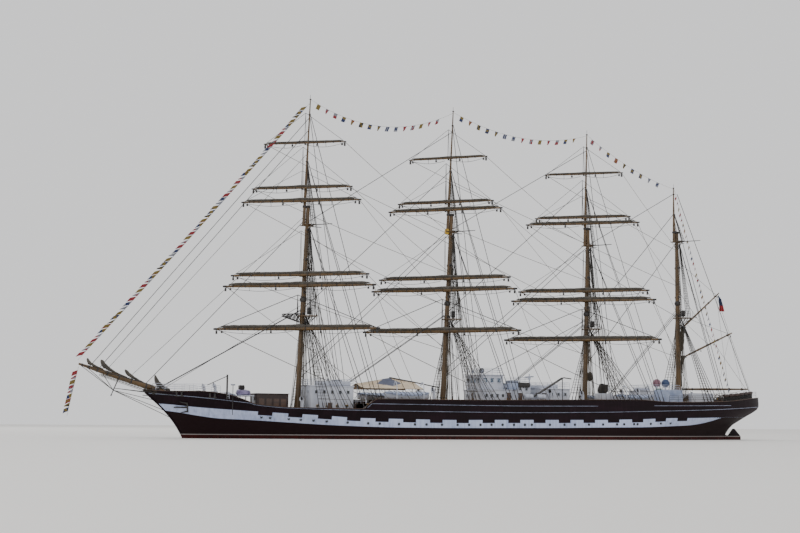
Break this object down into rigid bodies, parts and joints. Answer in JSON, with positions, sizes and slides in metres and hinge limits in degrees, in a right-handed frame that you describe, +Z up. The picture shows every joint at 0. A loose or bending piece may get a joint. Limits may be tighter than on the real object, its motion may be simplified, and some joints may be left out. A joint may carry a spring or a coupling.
{
  "type": "four-masted barque, 1:10 scale model",
  "caption": "Steel sailing ship afloat with furled sails, square-rigged yards that brace round, spanker boom and gaffs, turning rudder and screws.",
  "frame": {"origin": "on the centreline at the waterline, amidships", "axes": "+X forward to the bow, +Y to port, +Z up"},
  "size_m": [11.4443, 1.7012, 5.7754],
  "materials": {
    "hull_paint": "black topsides with a white band, dark red below the boot-top line",
    "spar_paint": "ochre gloss, weathered",
    "white_paint": "satin white",
    "bronze": "dull bronze",
    "dark_steel": "black oiled wire and iron",
    "canvas": "weathered sailcloth",
    "teak": "oiled hardwood"
  },
  "bodies": {
    "ship": {"hull": "hull_paint", "fore_bulwark_port": "hull_paint", "aft_bulwark_port": "hull_paint", "fore_bulwark_starboard": "hull_paint", "aft_bulwark_starboard": "hull_paint", "bowsprit": "spar_paint", "fore_lower_mast": "spar_paint", "fore_upper_mast": "spar_paint", "main_lower_mast": "spar_paint", "main_upper_mast": "spar_paint", "mizzen_lower_mast": "spar_paint", "mizzen_upper_mast": "spar_paint", "jigger_lower_mast": "spar_paint", "jigger_upper_mast": "spar_paint", "fore_deckhouse": "white_paint", "bridge_house": "white_paint", "midship_house": "white_paint", "poop_house": "white_paint", "poop_skylight": "white_paint", "wheelhouse": "white_paint", "fore_boat_port": "white_paint", "fore_boat_starboard": "white_paint", "aft_boat_port": "white_paint", "aft_boat_starboard": "white_paint", "awning": "canvas", "capstan": "dark_steel", "steering_wheel": "teak", "radomes": "white_paint", "anchor_port": "dark_steel", "anchor_starboard": "dark_steel", "fore_stay": "dark_steel", "fore_topmast_stay": "dark_steel", "fore_topgallant_stay": "dark_steel", "main_stay": "dark_steel", "mizzen_stay": "dark_steel", "jigger_stay": "dark_steel"},
    "fore_course_yard": {"fore_course_yard": "spar_paint"},
    "fore_lower_topsail_yard": {"fore_lower_topsail_yard": "spar_paint"},
    "fore_upper_topsail_yard": {"fore_upper_topsail_yard": "spar_paint"},
    "fore_lower_topgallant_yard": {"fore_lower_topgallant_yard": "spar_paint"},
    "fore_upper_topgallant_yard": {"fore_upper_topgallant_yard": "spar_paint"},
    "fore_royal_yard": {"fore_royal_yard": "spar_paint"},
    "main_course_yard": {"main_course_yard": "spar_paint"},
    "main_lower_topsail_yard": {"main_lower_topsail_yard": "spar_paint"},
    "main_upper_topsail_yard": {"main_upper_topsail_yard": "spar_paint"},
    "main_lower_topgallant_yard": {"main_lower_topgallant_yard": "spar_paint"},
    "main_upper_topgallant_yard": {"main_upper_topgallant_yard": "spar_paint"},
    "main_royal_yard": {"main_royal_yard": "spar_paint"},
    "mizzen_course_yard": {"mizzen_course_yard": "spar_paint"},
    "mizzen_lower_topsail_yard": {"mizzen_lower_topsail_yard": "spar_paint"},
    "mizzen_upper_topsail_yard": {"mizzen_upper_topsail_yard": "spar_paint"},
    "mizzen_lower_topgallant_yard": {"mizzen_lower_topgallant_yard": "spar_paint"},
    "mizzen_upper_topgallant_yard": {"mizzen_upper_topgallant_yard": "spar_paint"},
    "mizzen_royal_yard": {"mizzen_royal_yard": "spar_paint"},
    "spanker_boom": {"spanker_boom": "spar_paint"},
    "spanker_lower_gaff": {"spanker_lower_gaff": "spar_paint"},
    "spanker_upper_gaff": {"spanker_upper_gaff": "spar_paint"},
    "rudder": {"rudder": "hull_paint"},
    "propeller_port": {"propeller_port": "bronze"},
    "propeller_starboard": {"propeller_starboard": "bronze"}
  },
  "joints": [
    {"name": "brace_fore_course", "type": "hinge", "parent": "ship", "child": "fore_course_yard", "pos_m": [2.43838, 0, 1.595], "axis": [0, 0, 1], "range_deg": [-110.7, 1.3]},
    {"name": "brace_fore_lower_topsail", "type": "hinge", "parent": "ship", "child": "fore_lower_topsail_yard", "pos_m": [2.40961, 0, 2.23], "axis": [0, 0, 1], "range_deg": [-110.7, 1.3]},
    {"name": "brace_fore_upper_topsail", "type": "hinge", "parent": "ship", "child": "fore_upper_topsail_yard", "pos_m": [2.40236, 0, 2.39], "axis": [0, 0, 1], "range_deg": [-110.7, 1.3]},
    {"name": "brace_fore_lower_topgallant", "type": "hinge", "parent": "ship", "child": "fore_lower_topgallant_yard", "pos_m": [2.40288, 0, 3.49], "axis": [0, 0, 1], "range_deg": [-110.7, 1.3]},
    {"name": "brace_fore_upper_topgallant", "type": "hinge", "parent": "ship", "child": "fore_upper_topgallant_yard", "pos_m": [2.39316, 0, 3.69], "axis": [0, 0, 1], "range_deg": [-110.7, 1.3]},
    {"name": "brace_fore_royal", "type": "hinge", "parent": "ship", "child": "fore_royal_yard", "pos_m": [2.36013, 0, 4.37], "axis": [0, 0, 1], "range_deg": [-110.7, 1.3]},
    {"name": "brace_main_course", "type": "hinge", "parent": "ship", "child": "main_course_yard", "pos_m": [0.0838, 0, 1.635], "axis": [0, 0, 1], "range_deg": [-104.2, 7.8]},
    {"name": "brace_main_lower_topsail", "type": "hinge", "parent": "ship", "child": "main_lower_topsail_yard", "pos_m": [0.05042, 0, 2.27], "axis": [0, 0, 1], "range_deg": [-104.2, 7.8]},
    {"name": "brace_main_upper_topsail", "type": "hinge", "parent": "ship", "child": "main_upper_topsail_yard", "pos_m": [0.04097, 0, 2.45], "axis": [0, 0, 1], "range_deg": [-104.2, 7.8]},
    {"name": "brace_main_lower_topgallant", "type": "hinge", "parent": "ship", "child": "main_lower_topgallant_yard", "pos_m": [0.03523, 0, 3.52], "axis": [0, 0, 1], "range_deg": [-104.2, 7.8]},
    {"name": "brace_main_upper_topgallant", "type": "hinge", "parent": "ship", "child": "main_upper_topgallant_yard", "pos_m": [0.02856, 0, 3.64], "axis": [0, 0, 1], "range_deg": [-104.2, 7.8]},
    {"name": "brace_main_royal", "type": "hinge", "parent": "ship", "child": "main_royal_yard", "pos_m": [-0.01033, 0, 4.34], "axis": [0, 0, 1], "range_deg": [-104.2, 7.8]},
    {"name": "brace_mizzen_course", "type": "hinge", "parent": "ship", "child": "mizzen_course_yard", "pos_m": [-2.41595, 0, 1.585], "axis": [0, 0, 1], "range_deg": [-109.2, 2.8]},
    {"name": "brace_mizzen_lower_topsail", "type": "hinge", "parent": "ship", "child": "mizzen_lower_topsail_yard", "pos_m": [-2.43831, 0, 2.22], "axis": [0, 0, 1], "range_deg": [-109.2, 2.8]},
    {"name": "brace_mizzen_upper_topsail", "type": "hinge", "parent": "ship", "child": "mizzen_upper_topsail_yard", "pos_m": [-2.44359, 0, 2.37], "axis": [0, 0, 1], "range_deg": [-109.2, 2.8]},
    {"name": "brace_mizzen_lower_topgallant", "type": "hinge", "parent": "ship", "child": "mizzen_lower_topgallant_yard", "pos_m": [-2.43205, 0, 3.47], "axis": [0, 0, 1], "range_deg": [-109.2, 2.8]},
    {"name": "brace_mizzen_upper_topgallant", "type": "hinge", "parent": "ship", "child": "mizzen_upper_topgallant_yard", "pos_m": [-2.43589, 0, 3.57], "axis": [0, 0, 1], "range_deg": [-109.2, 2.8]},
    {"name": "brace_mizzen_royal", "type": "hinge", "parent": "ship", "child": "mizzen_royal_yard", "pos_m": [-2.46355, 0, 4.29], "axis": [0, 0, 1], "range_deg": [-109.2, 2.8]},
    {"name": "boom_swing", "type": "hinge", "parent": "ship", "child": "spanker_boom", "pos_m": [-4.33035, 0, 0.83], "axis": [0, 0, 1], "range_deg": [-40, 40]},
    {"name": "lower_gaff_swing", "type": "hinge", "parent": "ship", "child": "spanker_lower_gaff", "pos_m": [-4.32928, 0, 1.363], "axis": [0, 0, 1], "range_deg": [-35, 35]},
    {"name": "upper_gaff_swing", "type": "hinge", "parent": "ship", "child": "spanker_upper_gaff", "pos_m": [-4.32828, 0, 1.861], "axis": [0, 0, 1], "range_deg": [-35, 35]},
    {"name": "rudder_turn", "type": "hinge", "parent": "ship", "child": "rudder", "pos_m": [-5.225, 0, -0.3], "axis": [0, 0, 1], "range_deg": [-35, 35]},
    {"name": "propeller_port_spin", "type": "hinge", "parent": "ship", "child": "propeller_port", "pos_m": [-4.885, 0.22, -0.45], "axis": [1, 0, 0], "continuous": true},
    {"name": "propeller_starboard_spin", "type": "hinge", "parent": "ship", "child": "propeller_starboard", "pos_m": [-4.885, -0.22, -0.45], "axis": [1, 0, 0], "continuous": true}
  ],
  "couplings": [
    {"joint": "brace_fore_lower_topsail", "follows": "brace_fore_course", "ratio": 1},
    {"joint": "brace_fore_upper_topsail", "follows": "brace_fore_course", "ratio": 1},
    {"joint": "brace_fore_lower_topgallant", "follows": "brace_fore_course", "ratio": 1},
    {"joint": "brace_fore_upper_topgallant", "follows": "brace_fore_course", "ratio": 1},
    {"joint": "brace_fore_royal", "follows": "brace_fore_course", "ratio": 1},
    {"joint": "brace_main_lower_topsail", "follows": "brace_main_course", "ratio": 1},
    {"joint": "brace_main_upper_topsail", "follows": "brace_main_course", "ratio": 1},
    {"joint": "brace_main_lower_topgallant", "follows": "brace_main_course", "ratio": 1},
    {"joint": "brace_main_upper_topgallant", "follows": "brace_main_course", "ratio": 1},
    {"joint": "brace_main_royal", "follows": "brace_main_course", "ratio": 1},
    {"joint": "brace_mizzen_lower_topsail", "follows": "brace_mizzen_course", "ratio": 1},
    {"joint": "brace_mizzen_upper_topsail", "follows": "brace_mizzen_course", "ratio": 1},
    {"joint": "brace_mizzen_lower_topgallant", "follows": "brace_mizzen_course", "ratio": 1},
    {"joint": "brace_mizzen_upper_topgallant", "follows": "brace_mizzen_course", "ratio": 1},
    {"joint": "brace_mizzen_royal", "follows": "brace_mizzen_course", "ratio": 1}
  ]
}
